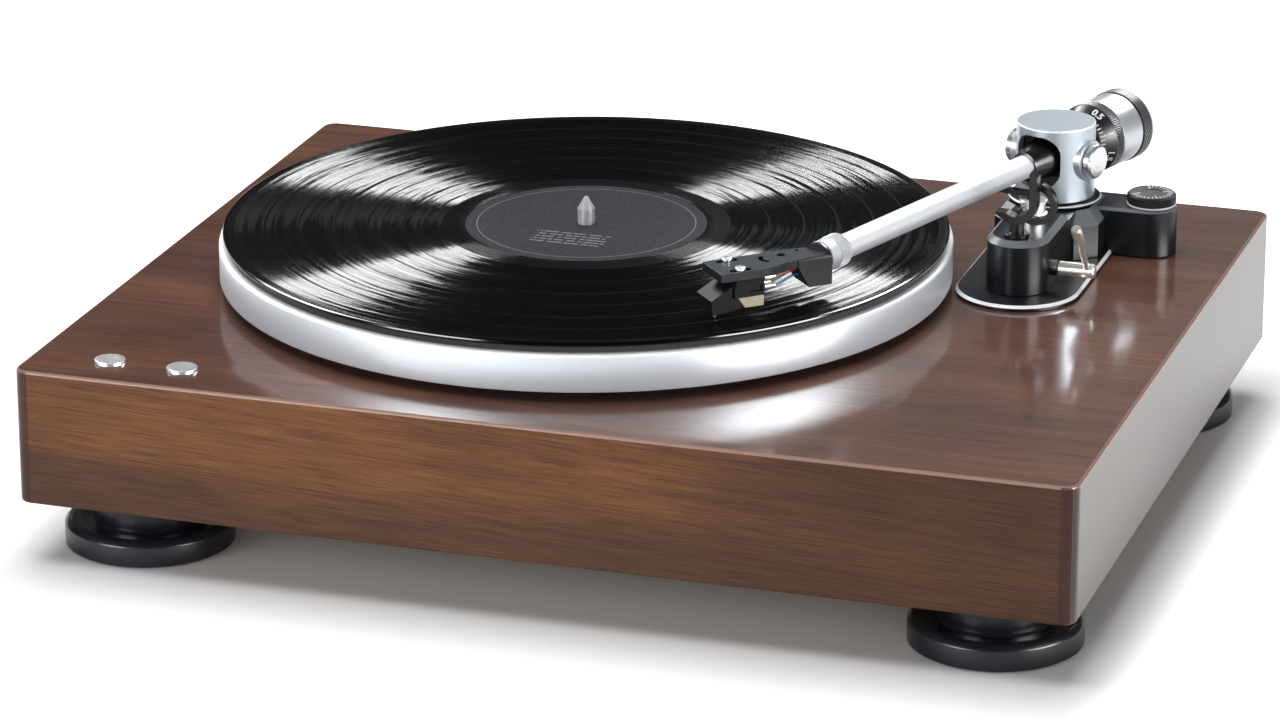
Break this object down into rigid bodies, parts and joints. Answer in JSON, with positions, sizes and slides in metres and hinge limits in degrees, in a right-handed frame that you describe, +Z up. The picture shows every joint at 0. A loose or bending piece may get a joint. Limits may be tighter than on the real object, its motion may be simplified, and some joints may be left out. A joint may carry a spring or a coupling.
{
  "type": "semi-automatic turntable",
  "caption": "Belt-drive turntable: walnut plinth, heavy platter with a record, straight gimballed tonearm with counterweight, cueing lift, arm rest and anti-skate dial.",
  "frame": {"origin": "on the floor under the middle of the plinth", "axes": "+X to the right seen from the front, +Y to the back, +Z up"},
  "size_m": [0.435, 0.352, 0.1395],
  "materials": {
    "walnut_veneer": "dark walnut veneer under clear gloss lacquer, grain along X",
    "fibreboard": "raw hard fibreboard",
    "foot_rubber": "satin black",
    "bronze": "turned",
    "turned_steel": "polished",
    "machined_aluminium": "satin",
    "weight_steel": "turned satin",
    "felt": "black felt",
    "vinyl": "black, finely grooved",
    "label_paper": "dark grey printed paper",
    "motor_can": "plated",
    "belt_rubber": "matte",
    "circuit_board": "green circuit board",
    "black_casting": "satin black with bright chamfers",
    "headshell_alloy": "dark grey anodised",
    "black_plastic": "satin black",
    "gold_plate": "gold plated",
    "pale_gold": "pale gold",
    "cantilever_alloy": "bright",
    "lead_white": "white sleeve",
    "lead_red": "red sleeve",
    "lead_green": "green sleeve",
    "lead_blue": "blue sleeve"
  },
  "bodies": {
    "chassis": {"plinth": "walnut_veneer", "bottom_board": "fibreboard", "foot_front_left": "foot_rubber", "foot_front_right": "foot_rubber", "foot_rear_left": "foot_rubber", "foot_rear_right": "foot_rubber", "bearing_bush": "bronze", "motor": "motor_can", "motor_bracket": "motor_can", "drive_belt": "belt_rubber", "switch_board": "circuit_board", "control_board": "circuit_board", "connector_panel": "black_plastic", "signal_jack_left": "gold_plate", "signal_jack_right": "gold_plate", "power_inlet": "black_plastic", "earth_post": "gold_plate", "arm_base_plate": "black_casting", "arm_base_casting": "black_casting", "pivot_collar": "black_casting", "arm_rest": "black_plastic", "lift_barrel": "turned_steel", "stop_sensor": "black_plastic"},
    "earth_nut_turner": {"earth_nut": "gold_plate"},
    "left_button": {"button_left": "machined_aluminium"},
    "right_button": {"button_right": "machined_aluminium"},
    "platter_assembly": {"platter_spindle": "turned_steel", "platter": "machined_aluminium", "platter_mat": "felt", "record": "vinyl", "record_label": "label_paper"},
    "pulley": {"motor_pulley": "bronze"},
    "anti_skate": {"anti_skate_knob": "black_plastic"},
    "clip": {"rest_clip": "black_plastic"},
    "lift": {"lift_bar": "black_plastic"},
    "cue_lever": {"cue_shaft": "machined_aluminium", "cue_grip": "turned_steel"},
    "arm_carriage": {"arm_shaft": "turned_steel", "bearing_housing": "machined_aluminium", "bearing_cap_left": "machined_aluminium", "bearing_cap_right": "machined_aluminium"},
    "tonearm": {"arm_yoke": "black_casting", "arm_tube": "machined_aluminium", "rear_stub": "turned_steel", "headshell": "headshell_alloy", "cartridge_body": "black_plastic", "cartridge_shoe": "pale_gold", "stylus_block": "black_plastic", "cantilever": "cantilever_alloy", "head_screw_left": "turned_steel", "head_screw_right": "turned_steel", "lead_white": "lead_white", "lead_red": "lead_red", "lead_green": "lead_green", "lead_blue": "lead_blue"},
    "head_lock": {"locking_collar": "machined_aluminium"},
    "weight_thread": {"weight_insert": "black_plastic"},
    "weight": {"counterweight": "weight_steel", "weight_grip_ring": "black_plastic"},
    "dial": {"force_dial": "black_plastic"}
  },
  "joints": [
    {"name": "platter_spin", "type": "hinge", "parent": "chassis", "child": "platter_assembly", "pos_m": [-0.0354, 0.0015, 0.09], "axis": [0, 0, -1], "continuous": true},
    {"name": "pulley_spin", "type": "hinge", "parent": "chassis", "child": "pulley", "pos_m": [-0.1324, 0.0575, 0.09], "axis": [0, 0, -1], "continuous": true},
    {"name": "left_button_press", "type": "slide", "parent": "chassis", "child": "left_button", "axis": [0, 0, -1], "range_m": [0, 0.0012], "stiffness_N_per_m": 800},
    {"name": "right_button_press", "type": "slide", "parent": "chassis", "child": "right_button", "axis": [0, 0, -1], "range_m": [0, 0.0012], "stiffness_N_per_m": 800},
    {"name": "earth_nut_turn", "type": "hinge", "parent": "chassis", "child": "earth_nut_turner", "pos_m": [0.098, 0.162, 0.054], "axis": [0, 1, 0], "range_deg": [0, 360]},
    {"name": "anti_skate_turn", "type": "hinge", "parent": "chassis", "child": "anti_skate", "pos_m": [0.1803, 0.1073, 0.104], "axis": [0, 0, -1], "range_deg": [0, 270]},
    {"name": "rest_clip_swing", "type": "hinge", "parent": "chassis", "child": "clip", "pos_m": [0.14108, 0.0395, 0.11591], "axis": [0, -1, 0], "range_deg": [0, 55]},
    {"name": "lift_slide", "type": "slide", "parent": "chassis", "child": "lift", "axis": [0, 0, 1], "range_m": [0, 0.00191]},
    {"name": "cue_lever_swing", "type": "hinge", "parent": "chassis", "child": "cue_lever", "pos_m": [0.1563, 0.042, 0.093], "axis": [-1, 0, 0], "range_deg": [0, 80]},
    {"name": "tonearm_swing", "type": "hinge", "parent": "chassis", "child": "arm_carriage", "pos_m": [0.1403, 0.0995, 0.1239], "axis": [0, 0, -1], "range_deg": [-19, 24]},
    {"name": "tonearm_raise", "type": "hinge", "parent": "arm_carriage", "child": "tonearm", "pos_m": [0.1403, 0.0995, 0.1239], "axis": [-0.9455, 0.3256, 0], "range_deg": [0, 2.92]},
    {"name": "head_lock_turn", "type": "hinge", "parent": "tonearm", "child": "head_lock", "pos_m": [0.08626, -0.05746, 0.1239], "axis": [-0.3256, -0.9455, 0], "range_deg": [0, 60]},
    {"name": "weight_turn", "type": "hinge", "parent": "tonearm", "child": "weight_thread", "pos_m": [0.15267, 0.13543, 0.1239], "axis": [0.3256, 0.9455, 0], "range_deg": [-144, 1440]},
    {"name": "weight_travel", "type": "slide", "parent": "weight_thread", "child": "weight", "axis": [0.3256, 0.9455, 0], "range_m": [-0.00061, 0.00601]},
    {"name": "force_dial_turn", "type": "hinge", "parent": "weight", "child": "dial", "pos_m": [0.14844, 0.12314, 0.1239], "axis": [0.3256, 0.9455, 0], "continuous": true}
  ],
  "couplings": [
    {"joint": "pulley_spin", "follows": "platter_spin", "ratio": 9.4286},
    {"joint": "lift_slide", "follows": "cue_lever_swing", "m_per_rad": 0.0013608},
    {"joint": "tonearm_raise", "follows": "cue_lever_swing", "ratio": 0.036256},
    {"joint": "weight_travel", "follows": "weight_turn", "m_per_rad": 0.00023873}
  ]
}
